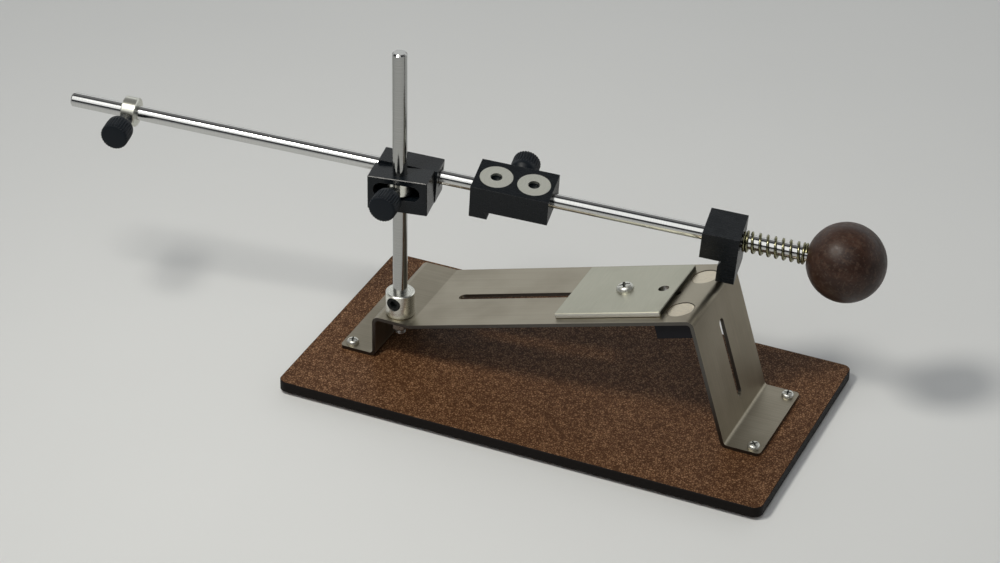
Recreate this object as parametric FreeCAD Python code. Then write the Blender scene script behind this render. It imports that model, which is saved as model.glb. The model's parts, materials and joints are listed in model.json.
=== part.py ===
"""Guided-rod honing guide: a bent steel frame on a board carries a sliding blade table, and a
swivelling, tilting guide rod on a post carries two stone clamps, a spring and a ball handle.

Units are millimetres. X runs along the board towards the handle, Y to the back, Z up.
The origin is the centre of the board's underside.
"""
import os

import FreeCAD
import Part
from FreeCAD import Placement, Rotation, Vector

from math import atan2, cos, degrees, hypot, pi, radians, sin, sqrt

# Board and feet
BOARD_LENGTH = 280.0
BOARD_WIDTH = 148.0
BOARD_THICKNESS = 6.0
BOARD_CORNER = 5.0
FOOT_PAD_RADIUS = 6.0
FOOT_PAD_HEIGHT = 2.0
FOOT_PAD_INSET = 14.0

# Bent frame, one sheet: foot, riser, flat, sloping deck, leg, foot
SHEET = 2.0
FRAME_WIDTH = 64.0
FRAME_Y = 2.0
FRAME_HALF = 123.5
RISER_X = -103.7
DECK_HALF = 81.7
FLAT_HEIGHT = 26.0
KNEE_HEIGHT = 73.4
LEG_FOOT_X = 103.5
BEND_OUTER = 4.0
BEND_INNER = 2.0
CREASE_RADIUS = 2.5
FOOT_CORNER = 2.5
SLOT_WIDTH = 5.5
DECK_SLOT = (16.6, 151.0)
LEG_SLOT = (15.9, 63.0)
FOOT_SCREW_INSET = 5.3
FOOT_SCREW_SHANK = 1.75
FOOT_SCREW_HEAD = 3.5
FOOT_SCREW_DEPTH = 5.0

# Blade table on the deck, placed by its distance along the deck from the crease
TABLE_START = 87.6
TABLE_LENGTH = 62.2
TABLE_WIDTH = 52.6
TABLE_THICKNESS = 3.0
TABLE_EDGE = 0.4
TABLE_SCREW_AT = 118.9
TABLE_SPARE_HOLE_AT = 141.6
TABLE_SPARE_HOLE_RADIUS = 3.0
TABLE_SCREW_RADIUS = 2.5
TABLE_SCREW_HEAD_RADIUS = 4.9
TABLE_SCREW_HEAD_HEIGHT = 3.0
TABLE_NUT_FLATS = 8.0
TABLE_NUT_HEIGHT = 4.0
TABLE_WASHER_RADIUS = 6.0

# Magnet bar under the deck beside the knee
MAGNET_RADIUS = 7.5
MAGNET_HEIGHT = 5.0
MAGNET_RECESS = 0.3
MAGNET_AT = 158.0
MAGNET_SPACING = 36.0
BAR_START = 146.6
BAR_END = 167.8
BAR_WIDTH = 59.0
BAR_DEPTH = 9.0

# Post and its boss
ROD_RADIUS = 4.0
POST_X = -91.4
POST_Y = -19.7
POST_TOP = 193.0
BOSS_RADIUS = 8.0
BOSS_HEIGHT = 14.3
BOSS_FLOOR = 5.0
SET_SCREW_RADIUS = 4.0
SET_SCREW_LENGTH = 3.5
SET_SCREW_HEIGHT = 9.2
SET_SCREW_TURN = 5.0
SET_SCREW_SOCKET = 4.0
BOSS_STUD_RADIUS = 3.0
BOSS_STUD_BELOW = 12.7
BOSS_NUT_FLATS = 10.0
BOSS_NUT_HEIGHT = 5.0
BOSS_NUT_TURN = 12.0
BOSS_WASHER_RADIUS = 6.2
BOSS_WASHER_HEIGHT = 1.6

# Carriage: a collar on the post, held by a thumb screw, inside the swivel block's slot
POST_COLLAR_RADIUS = 7.0
STOP_COLLAR_RADIUS = 8.0
COLLAR_WIDTH = 8.0
POST_KNOB_YAW = 4.8

# Swivel block, upright on the post, turned with the arm
ARM_YAW = 9.66
ARM_PITCH = 4.41
BLOCK_LEFT = -16.1
BLOCK_RIGHT = 17.0
BLOCK_DEPTH = 15.0
BLOCK_HEIGHT = 20.0
BLOCK_TOP = 120.2
BLOCK_SLOT_HEIGHT = 9.0
BLOCK_SLOT_LENGTH = 26.0
BLOCK_SLOT_DROP = 3.2
BLOCK_EDGE = 0.4

# Rod carrier behind the swivel block, tilting on a shoulder screw
ROD_SETBACK = 15.1
ROD_HEIGHT = 114.0
CARRIER_LEFT = -14.9
CARRIER_RIGHT = 18.3
CARRIER_ABOVE = 7.0
CARRIER_BELOW = 12.6
CARRIER_BACK = 7.5
CARRIER_GAP = 0.3
PIVOT_DROP = 9.0
PIVOT_RADIUS = 2.0
PIVOT_THREAD_RADIUS = 1.6
PIVOT_HEAD_RADIUS = 3.5
PIVOT_HEAD_HEIGHT = 2.0
BUSH_RADIUS = 5.5

# Guide rod and what it carries, by distance along the rod from the post
ROD_LEFT = -191.7
ROD_RIGHT = 233.0
STOP_AT = -157.6
STOP_KNOB_DIP = 3.0
CLAMP_WIDTH = 25.0
CLAMP_ABOVE = 8.0
CLAMP_BELOW = 7.5
FIXED_LEFT = 38.1
FIXED_RIGHT = 81.2
FIXED_ROLL = 8.4
FIXED_LIP_LENGTH = 10.0
FIXED_LIP_DROP = 4.8
SPRUNG_LEFT = 164.5
SPRUNG_RIGHT = 184.8
SPRUNG_ROLL = 3.5
SPRUNG_LEG_LENGTH = 10.0
SPRUNG_LEG_DROP = 13.05
NOTCH = 1.6
WASHER_RADIUS = 9.0
WASHER_HOLE = 3.2
WASHER_HEIGHT = 1.6
WASHER_SPACING = 20.8
SPRING_OUTER = 6.0
SPRING_INNER = 4.6
BALL_AT = 240.8
BALL_RADIUS = 21.5
BALL_FLAT = 20.6
INSERT_RADIUS = 6.0
INSERT_LENGTH = 14.0

# Thumb screw, measured outwards from the axis of the rod that it grips
STUD_RADIUS = 2.5
STUD_TIP = 4.05
STUD_END = 24.0
KNOB_START = 9.0
CLAMP_KNOB_START = 13.0
KNOB_NECK = 3.8
KNOB_TAPER_START = 12.6
KNOB_GRIP_START = 17.6
KNOB_END = 28.0
KNOB_RADIUS = 7.7
KNOB_FLUTES = 30
FLUTE_RADIUS = 0.4

# Fits
RUNNING = 0.04
SEATED = 0.02

DECK_RUN = 2 * DECK_HALF
DECK_RISE = KNEE_HEIGHT - FLAT_HEIGHT
DECK_ANGLE = degrees(atan2(DECK_RISE, DECK_RUN))
LEG_ANGLE = degrees(atan2(KNEE_HEIGHT - SHEET, LEG_FOOT_X - DECK_HALF))
SPRING_END = BALL_AT - BALL_FLAT
X_AXIS, Y_AXIS, Z_AXIS = Vector(1, 0, 0), Vector(0, 1, 0), Vector(0, 0, 1)


# ---------------------------------------------------------------- placements

def deck_place():
    """X along the deck from the crease, Y across, Z out of the deck's top face."""
    crease = Vector(-DECK_HALF, FRAME_Y, BOARD_THICKNESS + FLAT_HEIGHT)
    return Placement(crease, Rotation(Y_AXIS, -DECK_ANGLE))


def leg_place():
    """X down the leg from the knee, Y across, Z out of the leg's outer face."""
    knee = Vector(DECK_HALF, FRAME_Y, BOARD_THICKNESS + KNEE_HEIGHT)
    return Placement(knee, Rotation(Y_AXIS, LEG_ANGLE))


def block_place():
    """X along the arm seen from above, Y to the back, Z up, from the foot of the swivel block."""
    return Placement(Vector(POST_X, POST_Y, BLOCK_TOP - BLOCK_HEIGHT), Rotation(Z_AXIS, ARM_YAW))


def arm_place(roll=0.0):
    """X along the guide rod, Y to its back, Z to its top, turned about the rod by roll."""
    yaw = Rotation(Z_AXIS, ARM_YAW)
    tilt = Rotation(Y_AXIS, ARM_PITCH)
    turn = Rotation(X_AXIS, roll)
    start = Vector(POST_X, POST_Y, ROD_HEIGHT) + yaw.multVec(Vector(0, ROD_SETBACK, 0))
    return Placement(start, yaw.multiply(tilt).multiply(turn))


def knob_place(place, local_origin, local_axis):
    """Z outwards along a thumb screw whose axis is given in another placement."""
    axis = place.Rotation.multVec(local_axis)
    return Placement(place.multVec(local_origin), Rotation(Z_AXIS, axis))


def put(shape, place):
    moved = shape.copy()
    moved.Placement = place.multiply(moved.Placement)
    return moved


# ---------------------------------------------------------------- simple solids

def box(x0, x1, y0, y1, z0, z1):
    return Part.makeBox(x1 - x0, y1 - y0, z1 - z0, Vector(x0, y0, z0))


def rod(radius, start, end, axis=X_AXIS):
    return Part.makeCylinder(radius, (end - start), axis * start, axis)


def rod_at(radius, base, length, axis):
    return Part.makeCylinder(radius, length, base, axis)


def ring(outer, inner, start, end, axis=X_AXIS):
    return rod(outer, start, end, axis).cut(rod(inner, start - 1, end + 1, axis))


def hexagon(flats, base, height):
    corner = flats / sqrt(3)
    points = [base + Vector(corner * cos(k * pi / 3), corner * sin(k * pi / 3), 0) for k in range(7)]
    return Part.Face(Part.makePolygon(points)).extrude(Vector(0, 0, height))


def slot_cutter(start, end, width, depth):
    """A round-ended slot along X, centred on Y, cut through Z from -depth to +depth."""
    radius = width / 2
    middle = box(start + radius, end - radius, -radius, radius, -depth, depth)
    left = rod_at(radius, Vector(start + radius, 0, -depth), 2 * depth, Z_AXIS)
    right = rod_at(radius, Vector(end - radius, 0, -depth), 2 * depth, Z_AXIS)
    return middle.fuse([left, right])


def prism(points, y0, y1):
    """A closed outline in X and Z, extruded along Y."""
    corners = [Vector(x, y0, z) for x, z in points]
    return Part.Face(Part.makePolygon(corners + corners[:1])).extrude(Vector(0, y1 - y0, 0))


def turned(profile):
    """A profile of (radius, height) points turned about Z."""
    corners = [Vector(r, 0, z) for r, z in profile]
    return Part.Face(Part.makePolygon(corners + corners[:1])).revolve(Vector(0, 0, 0), Z_AXIS, 360)


def edges_along(shape, axis, spots, slack=0.05):
    """Edges parallel to axis whose middle lies on one of the (x, z) or (x, y) spots."""
    found = []
    for edge in shape.Edges:
        first, last = edge.Vertexes[0].Point, edge.Vertexes[-1].Point
        along = last - first
        if along.Length < 1e-6 or abs(abs(along.dot(axis)) - along.Length) > 1e-4:
            continue
        middle = (first + last) * 0.5
        place = (middle.x, middle.z) if axis == Y_AXIS else (middle.x, middle.y)
        if any(hypot(place[0] - s[0], place[1] - s[1]) < slack for s in spots):
            found.append(edge)
    return found


def cross_recess(top, depth, size, width):
    """A cross recess for a driver, cut down from height top."""
    one = box(-size / 2, size / 2, -width / 2, width / 2, top - depth, top + 1)
    other = box(-width / 2, width / 2, -size / 2, size / 2, top - depth, top + 1)
    return one.fuse(other)


def domed_screw(head_radius, head_height, shank_radius, shank_length):
    """A pan-head screw standing on Z = 0 with its shank below."""
    dome = head_radius * 1.6
    cap = Part.makeSphere(dome, Vector(0, 0, head_height - dome))
    head = rod(head_radius, 0, head_height + 1, Z_AXIS).common(cap)
    shank = rod(shank_radius, -shank_length, 0.1, Z_AXIS)
    recess = cross_recess(head_height, head_height * 0.6, head_radius * 1.05, head_radius * 0.22)
    return head.fuse(shank).removeSplitter().cut(recess)


# ---------------------------------------------------------------- board and feet

def corner_spots(half_x, half_y, centre_y=0.0):
    return [(sx * half_x, centre_y + sy * half_y) for sx in (-1, 1) for sy in (-1, 1)]


def foot_screw_spots():
    return corner_spots(FRAME_HALF - FOOT_SCREW_INSET, FRAME_WIDTH / 2 - FOOT_SCREW_INSET, FRAME_Y)


def make_board():
    half_x, half_y = BOARD_LENGTH / 2, BOARD_WIDTH / 2
    board = box(-half_x, half_x, -half_y, half_y, 0, BOARD_THICKNESS)
    board = board.makeFillet(BOARD_CORNER, edges_along(board, Z_AXIS, corner_spots(half_x, half_y)))
    rim = [e for e in board.Edges if min(v.Z for v in e.Vertexes) > BOARD_THICKNESS - 1e-6]
    board = board.makeChamfer(0.3, rim)
    for x, y in foot_screw_spots():
        floor = Vector(x, y, BOARD_THICKNESS - FOOT_SCREW_DEPTH)
        board = board.cut(rod_at(FOOT_SCREW_SHANK + SEATED, floor, 20, Z_AXIS))
    return board


def make_foot_pads():
    spots = corner_spots(BOARD_LENGTH / 2 - FOOT_PAD_INSET, BOARD_WIDTH / 2 - FOOT_PAD_INSET)
    pad = rod(FOOT_PAD_RADIUS, -FOOT_PAD_HEIGHT, 0, Z_AXIS)
    rims = [e for e in pad.Edges if e.Closed and e.Vertexes[0].Z < -FOOT_PAD_HEIGHT + 0.1]
    pad = pad.makeFillet(0.6, rims)
    return Part.makeCompound([put(pad, Placement(Vector(x, y, 0), Rotation())) for x, y in spots])


# ---------------------------------------------------------------- bent frame

def frame_outline():
    """Corners of the sheet's outer side, left foot to right foot, as (x, z)."""
    floor = BOARD_THICKNESS
    return [
        (-FRAME_HALF, floor + SHEET),
        (RISER_X, floor + SHEET),
        (RISER_X, floor + FLAT_HEIGHT),
        (-DECK_HALF, floor + FLAT_HEIGHT),
        (DECK_HALF, floor + KNEE_HEIGHT),
        (LEG_FOOT_X, floor + SHEET),
        (FRAME_HALF, floor + SHEET),
    ]


def inner_corner(before, corner, after):
    """Where the sheet's inner side turns, for one corner of its outer side."""
    a1 = atan2(corner[1] - before[1], corner[0] - before[0])
    a2 = atan2(after[1] - corner[1], after[0] - corner[0])
    middle = (a1 + a2) / 2
    reach = SHEET / cos((a2 - a1) / 2)
    return corner[0] + reach * sin(middle), corner[1] - reach * cos(middle)


def make_frame():
    outer = frame_outline()
    inner = [inner_corner(*outer[k - 1:k + 2]) for k in range(1, len(outer) - 1)]
    ends = [(outer[0][0], outer[0][1] - SHEET), (outer[-1][0], outer[-1][1] - SHEET)]
    outline = outer + [ends[1]] + inner[::-1] + [ends[0]]
    y0, y1 = FRAME_Y - FRAME_WIDTH / 2, FRAME_Y + FRAME_WIDTH / 2
    sheet = prism(outline, y0, y1)
    bends = [
        (BEND_INNER, [outer[1], outer[5], inner[1], inner[3]]),
        (BEND_OUTER, [inner[0], inner[4], outer[2], outer[4]]),
        (CREASE_RADIUS, [outer[3]]),
        (CREASE_RADIUS + SHEET, [inner[2]]),
    ]
    for radius, spots in bends:
        sheet = sheet.makeFillet(radius, edges_along(sheet, Y_AXIS, spots))
    corners = [(sx * FRAME_HALF, y) for sx in (-1, 1) for y in (y0, y1)]
    sheet = sheet.makeFillet(FOOT_CORNER, edges_along(sheet, Z_AXIS, corners))
    cutters = [
        put(slot_cutter(*DECK_SLOT, SLOT_WIDTH, 5), deck_place()),
        put(slot_cutter(*LEG_SLOT, SLOT_WIDTH, 5), leg_place()),
        rod_at(BOSS_STUD_RADIUS + 0.2, Vector(POST_X, POST_Y, BOARD_THICKNESS + 15), 20, Z_AXIS),
    ]
    for side in (-1, 1):
        hole = rod_at(MAGNET_RADIUS + 0.1, Vector(MAGNET_AT, side * MAGNET_SPACING / 2, -5), 10, Z_AXIS)
        cutters.append(put(hole, deck_place()))
    for x, y in foot_screw_spots():
        cutters.append(rod_at(FOOT_SCREW_SHANK + 0.1, Vector(x, y, BOARD_THICKNESS - 1), 5, Z_AXIS))
    return sheet.cut(cutters)


def make_foot_screws():
    screw = domed_screw(FOOT_SCREW_HEAD, 2.2, FOOT_SCREW_SHANK, FOOT_SCREW_DEPTH + SHEET - 0.2)
    top = BOARD_THICKNESS + SHEET
    turns = (20, 65, 40, 10)
    spots = foot_screw_spots()
    screws = []
    for (x, y), turn in zip(spots, turns):
        screws.append(put(screw, Placement(Vector(x, y, top), Rotation(Z_AXIS, turn))))
    return Part.makeCompound(screws)


# ---------------------------------------------------------------- magnet bar

def make_magnet_bar():
    top, bottom, relief = -SHEET, -SHEET - BAR_DEPTH, 2.4
    outline = [
        (BAR_START, bottom), (BAR_END, bottom), (BAR_END, top - relief),
        (BAR_END - relief, top), (BAR_START, top),
    ]
    bar = prism(outline, -BAR_WIDTH / 2, BAR_WIDTH / 2)
    for side in (-1, 1):
        floor = Vector(MAGNET_AT, side * MAGNET_SPACING / 2, -MAGNET_RECESS - MAGNET_HEIGHT)
        bar = bar.cut(rod_at(MAGNET_RADIUS + SEATED, floor, 20, Z_AXIS))
    return put(bar, deck_place())


def make_magnets():
    disc = rod(MAGNET_RADIUS, -MAGNET_RECESS - MAGNET_HEIGHT, -MAGNET_RECESS, Z_AXIS)
    disc = disc.makeChamfer(0.3, [e for e in disc.Edges if e.Closed])
    places = [Vector(MAGNET_AT, side * MAGNET_SPACING / 2, 0) for side in (-1, 1)]
    return Part.makeCompound([put(put(disc, Placement(p, Rotation())), deck_place()) for p in places])


# ---------------------------------------------------------------- post and boss

def flat_top():
    return BOARD_THICKNESS + FLAT_HEIGHT


def set_screw_place():
    height = Vector(POST_X, POST_Y, flat_top() + SET_SCREW_HEIGHT)
    outwards = Vector(-sin(radians(SET_SCREW_TURN)), -cos(radians(SET_SCREW_TURN)), 0)
    return Placement(height, Rotation(Z_AXIS, outwards))


def make_boss():
    foot = Vector(POST_X, POST_Y, flat_top())
    boss = rod_at(BOSS_RADIUS, foot, BOSS_HEIGHT, Z_AXIS)
    boss = boss.makeChamfer(0.5, [e for e in boss.Edges if e.Closed])
    post_hole = rod_at(ROD_RADIUS + SEATED, foot + Z_AXIS * BOSS_FLOOR, BOSS_HEIGHT, Z_AXIS)
    bolt_hole = rod_at(BOSS_STUD_RADIUS + SEATED, foot - Z_AXIS, BOSS_FLOOR + 2, Z_AXIS)
    side_hole = put(rod(SET_SCREW_RADIUS + SEATED, 3, 12, Z_AXIS), set_screw_place())
    return boss.cut([post_hole, bolt_hole, side_hole])


def make_post():
    start = flat_top() + BOSS_FLOOR
    post = rod_at(ROD_RADIUS, Vector(POST_X, POST_Y, start), POST_TOP - start, Z_AXIS)
    return post.makeChamfer(0.8, [e for e in post.Edges if e.Closed])


def make_set_screw():
    start = ROD_RADIUS + SEATED
    end = start + SET_SCREW_LENGTH
    screw = rod(SET_SCREW_RADIUS, start, end, Z_AXIS)
    socket = hexagon(SET_SCREW_SOCKET, Vector(0, 0, end - 2.2), 5)
    return put(screw.cut(socket), set_screw_place())


def make_boss_washer():
    washer = ring(BOSS_WASHER_RADIUS, BOSS_STUD_RADIUS + 0.2, -BOSS_WASHER_HEIGHT, 0, Z_AXIS)
    return put(washer, Placement(Vector(POST_X, POST_Y, flat_top() - SHEET), Rotation()))


def make_boss_nut():
    seat = -SHEET - BOSS_WASHER_HEIGHT
    face = seat - BOSS_NUT_HEIGHT
    nut = hexagon(BOSS_NUT_FLATS, Vector(0, 0, face), BOSS_NUT_HEIGHT)
    bevel = turned([(0, face), (4.9, face), (5.9, face + 1), (5.9, seat - 1), (4.9, seat), (0, seat)])
    nut = nut.common(bevel).cut(rod(BOSS_STUD_RADIUS + SEATED, -30, 5, Z_AXIS))
    return put(nut, Placement(Vector(POST_X, POST_Y, flat_top()), Rotation(Z_AXIS, BOSS_NUT_TURN)))


def make_boss_stud():
    stud = rod(BOSS_STUD_RADIUS, -BOSS_STUD_BELOW, BOSS_FLOOR - 0.5, Z_AXIS)
    stud = stud.makeChamfer(0.6, [e for e in stud.Edges if e.Closed])
    return put(stud, Placement(Vector(POST_X, POST_Y, flat_top()), Rotation()))


# ---------------------------------------------------------------- blade table

def make_table_plate():
    half = TABLE_WIDTH / 2
    plate = box(TABLE_START, TABLE_START + TABLE_LENGTH, -half, half, 0, TABLE_THICKNESS)
    plate = plate.makeChamfer(TABLE_EDGE, plate.Edges)
    plate = plate.cut(rod_at(TABLE_SCREW_RADIUS + 0.1, Vector(TABLE_SCREW_AT, 0, -1), 10, Z_AXIS))
    plate = plate.cut(rod_at(TABLE_SPARE_HOLE_RADIUS, Vector(TABLE_SPARE_HOLE_AT, 0, -1), 10, Z_AXIS))
    return put(plate, deck_place())


def table_screw_place(height):
    return deck_place().multiply(Placement(Vector(TABLE_SCREW_AT, 0, height), Rotation(Z_AXIS, 25)))


def make_table_screw():
    length = TABLE_THICKNESS + SHEET + 1.0 + TABLE_NUT_HEIGHT + 1.5
    screw = domed_screw(TABLE_SCREW_HEAD_RADIUS, TABLE_SCREW_HEAD_HEIGHT, TABLE_SCREW_RADIUS, length)
    return put(screw, table_screw_place(TABLE_THICKNESS))


def make_table_washer():
    washer = ring(TABLE_WASHER_RADIUS, TABLE_SCREW_RADIUS + 0.1, -1.0, 0, Z_AXIS)
    return put(washer, table_screw_place(-SHEET - 0.03))


def make_table_nut():
    nut = hexagon(TABLE_NUT_FLATS, Vector(0, 0, -TABLE_NUT_HEIGHT), TABLE_NUT_HEIGHT)
    nut = nut.cut(rod(TABLE_SCREW_RADIUS + SEATED, -10, 1, Z_AXIS))
    return put(nut, table_screw_place(-SHEET - 1.03))


# ---------------------------------------------------------------- thumb screws and collars

def make_stud(place):
    return put(rod(STUD_RADIUS, STUD_TIP, STUD_END, Z_AXIS), place)


def make_knob(place, start):
    """Fluted head with a tapering neck, moulded round the stud's outer end."""
    head = turned([
        (STUD_RADIUS + SEATED, start), (KNOB_NECK, start),
        (KNOB_NECK, max(start, KNOB_TAPER_START) + 0.1),
        (KNOB_RADIUS - 0.6, KNOB_GRIP_START - 0.8), (KNOB_RADIUS, KNOB_GRIP_START),
        (KNOB_RADIUS, KNOB_END - 0.8), (KNOB_RADIUS - 0.8, KNOB_END),
        (0, KNOB_END), (0, STUD_END + SEATED), (STUD_RADIUS + SEATED, STUD_END + SEATED),
    ])
    flutes = []
    for k in range(KNOB_FLUTES):
        turn = 2 * pi * k / KNOB_FLUTES
        base = Vector(KNOB_RADIUS * cos(turn), KNOB_RADIUS * sin(turn), KNOB_GRIP_START + 2.0)
        flutes.append(rod_at(FLUTE_RADIUS, base, KNOB_END, Z_AXIS))
    return put(head.cut(flutes), place)


def make_collar(outer, centre_place, hole_place):
    """A collar whose own axis is X in centre_place, tapped for the thumb screw."""
    collar = ring(outer, ROD_RADIUS + RUNNING, -COLLAR_WIDTH / 2, COLLAR_WIDTH / 2)
    rims = [e for e in collar.Edges if e.Closed and abs(e.Curve.Radius - outer) < 1e-6]
    collar = put(collar.makeChamfer(0.5, rims), centre_place)
    tapped = put(rod(STUD_RADIUS + RUNNING, ROD_RADIUS - 1, outer + 2, Z_AXIS), hole_place)
    return collar.cut(tapped)


def post_collar_height():
    return BLOCK_TOP - BLOCK_SLOT_DROP - SEATED - COLLAR_WIDTH / 2


def post_knob_place():
    outwards = Vector(sin(radians(POST_KNOB_YAW)), -cos(radians(POST_KNOB_YAW)), 0)
    return Placement(Vector(POST_X, POST_Y, post_collar_height()), Rotation(Z_AXIS, outwards))


def make_post_collar():
    upright = Placement(Vector(POST_X, POST_Y, post_collar_height()), Rotation(Y_AXIS, -90))
    return make_collar(POST_COLLAR_RADIUS, upright, post_knob_place())


def stop_knob_place():
    dip = radians(STOP_KNOB_DIP)
    return knob_place(arm_place(), Vector(STOP_AT, 0, 0), Vector(0, -cos(dip), -sin(dip)))


def make_stop_collar():
    place = arm_place().multiply(Placement(Vector(STOP_AT, 0, 0), Rotation()))
    return make_collar(STOP_COLLAR_RADIUS, place, stop_knob_place())


# ---------------------------------------------------------------- swivel block and carrier

def make_swivel_block():
    half = BLOCK_DEPTH / 2
    block = box(BLOCK_LEFT, BLOCK_RIGHT, -half, half, 0, BLOCK_HEIGHT)
    broken = [e for e in block.Edges if min(v.Y for v in e.Vertexes) < half - 0.01]
    block = block.makeChamfer(BLOCK_EDGE, broken)
    bore = rod(ROD_RADIUS + RUNNING, -1, BLOCK_HEIGHT + 1, Z_AXIS)
    middle = BLOCK_HEIGHT - BLOCK_SLOT_DROP - BLOCK_SLOT_HEIGHT / 2
    half_length = BLOCK_SLOT_LENGTH / 2
    slot = slot_cutter(-half_length, half_length, BLOCK_SLOT_HEIGHT, BLOCK_DEPTH)
    slot = put(slot, Placement(Vector(0, 0, middle), Rotation(X_AXIS, 90)))
    block = put(block.cut([bore, slot]), block_place())
    mouth = Vector(0, -ROD_SETBACK + ROD_RADIUS, -PIVOT_DROP)
    tapped = rod_at(PIVOT_THREAD_RADIUS + SEATED, mouth, 20, Y_AXIS)
    return block.cut(put(tapped, arm_place()))


def carrier_front():
    return BLOCK_DEPTH / 2 + CARRIER_GAP - ROD_SETBACK


def make_pivot_screw():
    """Shoulder screw: thread in the swivel block, shoulder through the carrier, head at the back."""
    thread_start = ROD_RADIUS + 0.3 - ROD_SETBACK
    shoulder_start = carrier_front() - CARRIER_GAP
    line = Vector(0, 0, -PIVOT_DROP)
    head_start = CARRIER_BACK + 0.05
    thread_length = shoulder_start - thread_start + 0.1
    thread = rod_at(PIVOT_THREAD_RADIUS, line + Y_AXIS * thread_start, thread_length, Y_AXIS)
    shoulder = rod_at(PIVOT_RADIUS, line + Y_AXIS * shoulder_start, head_start - shoulder_start, Y_AXIS)
    head = rod_at(PIVOT_HEAD_RADIUS, line + Y_AXIS * head_start, PIVOT_HEAD_HEIGHT, Y_AXIS)
    head = head.makeChamfer(0.4, [e for e in head.Edges if e.Closed and e.Vertexes[0].Y > head_start + 1])
    socket = hexagon(2.5, Vector(0, 0, 0), 3)
    socket = put(socket, Placement(line + Y_AXIS * (head_start + 0.8), Rotation(X_AXIS, -90)))
    return put(thread.fuse([shoulder, head]).removeSplitter().cut(socket), arm_place())


def make_thrust_washer():
    start = carrier_front() - CARRIER_GAP
    outer = rod_at(3.3, Vector(0, start, -PIVOT_DROP), CARRIER_GAP - 0.02, Y_AXIS)
    inner = rod_at(PIVOT_RADIUS + RUNNING, Vector(0, start - 1, -PIVOT_DROP), 3, Y_AXIS)
    return put(outer.cut(inner), arm_place())


def make_rod_carrier():
    carrier = box(CARRIER_LEFT, CARRIER_RIGHT, carrier_front(), CARRIER_BACK, -CARRIER_BELOW, CARRIER_ABOVE)
    broken = [e for e in carrier.Edges if max(v.Y for v in e.Vertexes) > carrier_front() + 0.01]
    carrier = carrier.makeChamfer(BLOCK_EDGE, broken)
    bush_hole = rod(BUSH_RADIUS + SEATED, CARRIER_LEFT - 1, CARRIER_RIGHT + 1)
    pivot_hole = rod_at(PIVOT_RADIUS + RUNNING, Vector(0, -30, -PIVOT_DROP), 60, Y_AXIS)
    return put(carrier.cut([bush_hole, pivot_hole]), arm_place())


def make_rod_bush():
    bush = ring(BUSH_RADIUS, ROD_RADIUS + RUNNING, CARRIER_LEFT + 0.3, CARRIER_RIGHT - 0.3)
    return put(bush, arm_place())


# ---------------------------------------------------------------- guide rod and handle

def make_guide_rod():
    bar = rod(ROD_RADIUS, ROD_LEFT, ROD_RIGHT)
    return put(bar.makeChamfer(0.8, [e for e in bar.Edges if e.Closed]), arm_place())


def make_ball_handle():
    ball = Part.makeSphere(BALL_RADIUS, Vector(BALL_AT, 0, 0))
    half = 2 * BALL_RADIUS
    ball = ball.common(box(SPRING_END, BALL_AT + half, -half, half, -half, half))
    pocket = rod(INSERT_RADIUS + SEATED, SPRING_END - 1, SPRING_END + INSERT_LENGTH)
    return put(ball.cut(pocket), arm_place())


def make_ball_insert():
    start = SPRING_END + 0.4
    end = SPRING_END + INSERT_LENGTH - 0.1
    return put(ring(INSERT_RADIUS, ROD_RADIUS + SEATED, start, end), arm_place())


def make_spring():
    return put(ring(SPRING_OUTER, SPRING_INNER, SPRUNG_RIGHT + 0.05, SPRING_END - 0.05), arm_place())


# ---------------------------------------------------------------- stone clamps

def clamp_body(left, right, drop, foot_left, foot_right, inner_side):
    """A block on the rod with a foot below one end, undercut where the stone's end sits."""
    half = CLAMP_WIDTH / 2
    block = box(left, right, -half, half, -CLAMP_BELOW, CLAMP_ABOVE)
    foot = box(foot_left, foot_right, -half, half, -CLAMP_BELOW - drop, -CLAMP_BELOW + 1)
    body = block.fuse(foot).removeSplitter()
    face = foot_right if inner_side > 0 else foot_left
    under = -CLAMP_BELOW
    notch = [
        (face, under - 2 * NOTCH),
        (face - inner_side * NOTCH, under),
        (face + inner_side, under),
        (face + inner_side, under - 2 * NOTCH),
    ]
    body = body.cut(prism(notch, -half - 1, half + 1))
    return body.cut(rod(ROD_RADIUS + RUNNING, left - 1, right + 1))


def washer_spots():
    middle = (FIXED_LEFT + FIXED_RIGHT) / 2
    return [Vector(middle + side * WASHER_SPACING / 2, 0, CLAMP_ABOVE) for side in (-1, 1)]


def fixed_clamp_middle():
    return Vector((FIXED_LEFT + FIXED_RIGHT) / 2, 0, 0)


def clamp_knob_place():
    return knob_place(arm_place(FIXED_ROLL), fixed_clamp_middle(), Y_AXIS)


def make_fixed_clamp():
    body = clamp_body(FIXED_LEFT, FIXED_RIGHT, FIXED_LIP_DROP, FIXED_LEFT, FIXED_LEFT + FIXED_LIP_LENGTH, 1)
    for spot in washer_spots():
        recess = rod_at(WASHER_RADIUS + 0.15, spot - Z_AXIS * (WASHER_HEIGHT + 0.1), 5, Z_AXIS)
        pilot = rod_at(WASHER_HOLE, spot - Z_AXIS * (WASHER_HEIGHT + 1.2), 5, Z_AXIS)
        body = body.cut([recess, pilot])
    body = body.cut(rod_at(STUD_RADIUS + RUNNING, fixed_clamp_middle() + Y_AXIS * 3, 20, Y_AXIS))
    return put(body, arm_place(FIXED_ROLL))


def make_clamp_washers():
    washers = []
    for spot in washer_spots():
        disc = rod_at(WASHER_RADIUS, spot - Z_AXIS * (WASHER_HEIGHT + 0.1), WASHER_HEIGHT, Z_AXIS)
        disc = disc.cut(rod_at(WASHER_HOLE, spot - Z_AXIS * 5, 10, Z_AXIS))
        washers.append(put(disc, arm_place(FIXED_ROLL)))
    return Part.makeCompound(washers)


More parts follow.
